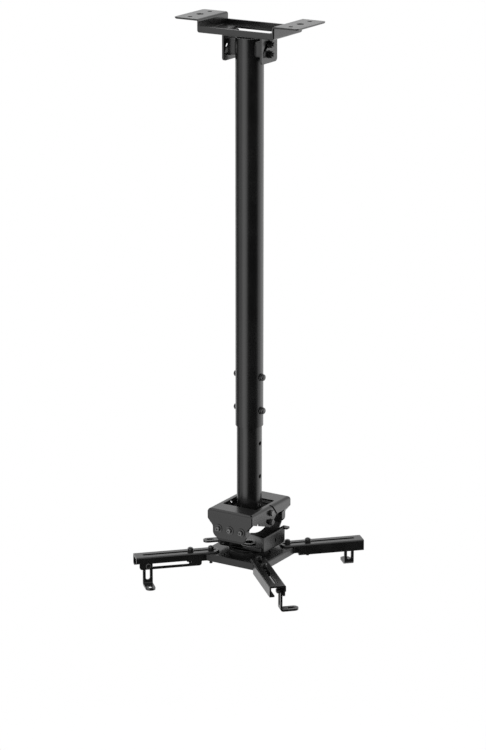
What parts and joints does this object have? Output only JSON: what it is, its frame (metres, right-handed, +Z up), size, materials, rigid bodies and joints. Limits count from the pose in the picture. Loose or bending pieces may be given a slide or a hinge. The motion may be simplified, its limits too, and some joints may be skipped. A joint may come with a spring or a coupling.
{
  "type": "projector ceiling mount",
  "caption": "Telescopic ceiling mount: folded ceiling bracket, round two-part pole, head that tilts, rolls and swivels, and sliding arms with slotted feet that carry a projector.",
  "frame": {"origin": "centre of the ceiling face, between the bracket's six holes, on the pole's axis", "axes": "+X along the ceiling bracket, -Y to the front of the head, +Z up to the ceiling"},
  "size_m": [0.2818, 0.2818, 0.8538],
  "materials": {
    "powder_coat": "black satin powder coat",
    "black_zinc": "black zinc plate, semi-gloss",
    "black_oxide": "black oxide"
  },
  "bodies": {
    "ceiling": {"ceiling_bracket": "powder_coat", "hanger_left": "powder_coat", "hanger_right": "powder_coat"},
    "pole": {"hanger_studs": "black_zinc", "hanger_washers": "black_zinc", "hanger_nuts": "black_zinc", "lug_left": "powder_coat", "lug_right": "powder_coat", "outer_tube": "powder_coat", "clamp_bolts": "black_oxide", "clamp_nuts": "black_oxide"},
    "inner_pole": {"inner_tube": "powder_coat", "pole_foot": "powder_coat", "tilt_bolts": "black_zinc", "tilt_washers": "black_zinc"},
    "housing": {"tilt_housing": "powder_coat"},
    "cradle": {"roll_cradle": "powder_coat", "roll_bolts": "black_oxide", "roll_washers": "black_oxide", "roll_nuts": "black_oxide"},
    "spider": {"swivel_washer": "powder_coat", "swivel_disc": "powder_coat", "swivel_hub": "powder_coat", "hub_collar": "black_zinc", "spider_plate": "powder_coat", "arm_studs": "black_zinc", "arm_washers": "black_zinc", "arm_nuts": "black_zinc"},
    "arm_1": {"arm_1": "powder_coat"},
    "clamp_1": {"foot_bolt_1": "black_oxide", "foot_nut_1": "black_oxide"},
    "foot_1": {"foot_1": "powder_coat"},
    "arm_2": {"arm_2": "powder_coat"},
    "clamp_2": {"foot_bolt_2": "black_oxide", "foot_nut_2": "black_oxide"},
    "foot_2": {"foot_2": "powder_coat"},
    "arm_3": {"arm_3": "powder_coat"},
    "clamp_3": {"foot_bolt_3": "black_oxide", "foot_nut_3": "black_oxide"},
    "foot_3": {"foot_3": "powder_coat"},
    "arm_4": {"arm_4": "powder_coat"},
    "clamp_4": {"foot_bolt_4": "black_oxide", "foot_nut_4": "black_oxide"},
    "foot_4": {"foot_4": "powder_coat"}
  },
  "joints": [
    {"name": "ceiling_tilt", "type": "hinge", "parent": "ceiling", "child": "pole", "pos_m": [0, 0, -0.0485], "axis": [1, 0, 0], "range_deg": [0, 90]},
    {"name": "pole_slide", "type": "slide", "parent": "pole", "child": "inner_pole", "axis": [0, 0, 1], "range_m": [-0.156, 0.104]},
    {"name": "head_tilt", "type": "hinge", "parent": "inner_pole", "child": "housing", "pos_m": [0, -0.003, -0.747], "axis": [1, 0, 0], "range_deg": [-15, 20]},
    {"name": "head_roll", "type": "hinge", "parent": "housing", "child": "cradle", "pos_m": [0, 0, -0.7665], "axis": [0, 1, 0], "range_deg": [-10, 10]},
    {"name": "head_swivel", "type": "hinge", "parent": "cradle", "child": "spider", "pos_m": [0, 0, -0.808], "axis": [0, 0, 1], "continuous": true},
    {"name": "arm_slide_1", "type": "slide", "parent": "spider", "child": "arm_1", "axis": [0.7071, 0.7071, 0], "range_m": [-0.004, 0.004]},
    {"name": "foot_slide_1", "type": "slide", "parent": "arm_1", "child": "clamp_1", "axis": [0.7071, 0.7071, 0], "range_m": [-0.048, 0]},
    {"name": "foot_height_1", "type": "slide", "parent": "clamp_1", "child": "foot_1", "axis": [0, 0, 1], "range_m": [0, 0.005]},
    {"name": "arm_slide_2", "type": "slide", "parent": "spider", "child": "arm_2", "axis": [-0.7071, 0.7071, 0], "range_m": [-0.004, 0.004]},
    {"name": "foot_slide_2", "type": "slide", "parent": "arm_2", "child": "clamp_2", "axis": [-0.7071, 0.7071, 0], "range_m": [-0.048, 0]},
    {"name": "foot_height_2", "type": "slide", "parent": "clamp_2", "child": "foot_2", "axis": [0, 0, 1], "range_m": [0, 0.005]},
    {"name": "arm_slide_3", "type": "slide", "parent": "spider", "child": "arm_3", "axis": [-0.7071, -0.7071, 0], "range_m": [-0.004, 0.004]},
    {"name": "foot_slide_3", "type": "slide", "parent": "arm_3", "child": "clamp_3", "axis": [-0.7071, -0.7071, 0], "range_m": [-0.048, 0]},
    {"name": "foot_height_3", "type": "slide", "parent": "clamp_3", "child": "foot_3", "axis": [0, 0, 1], "range_m": [0, 0.005]},
    {"name": "arm_slide_4", "type": "slide", "parent": "spider", "child": "arm_4", "axis": [0.7071, -0.7071, 0], "range_m": [-0.004, 0.004]},
    {"name": "foot_slide_4", "type": "slide", "parent": "arm_4", "child": "clamp_4", "axis": [0.7071, -0.7071, 0], "range_m": [-0.048, 0]},
    {"name": "foot_height_4", "type": "slide", "parent": "clamp_4", "child": "foot_4", "axis": [0, 0, 1], "range_m": [0, 0.005]}
  ]
}
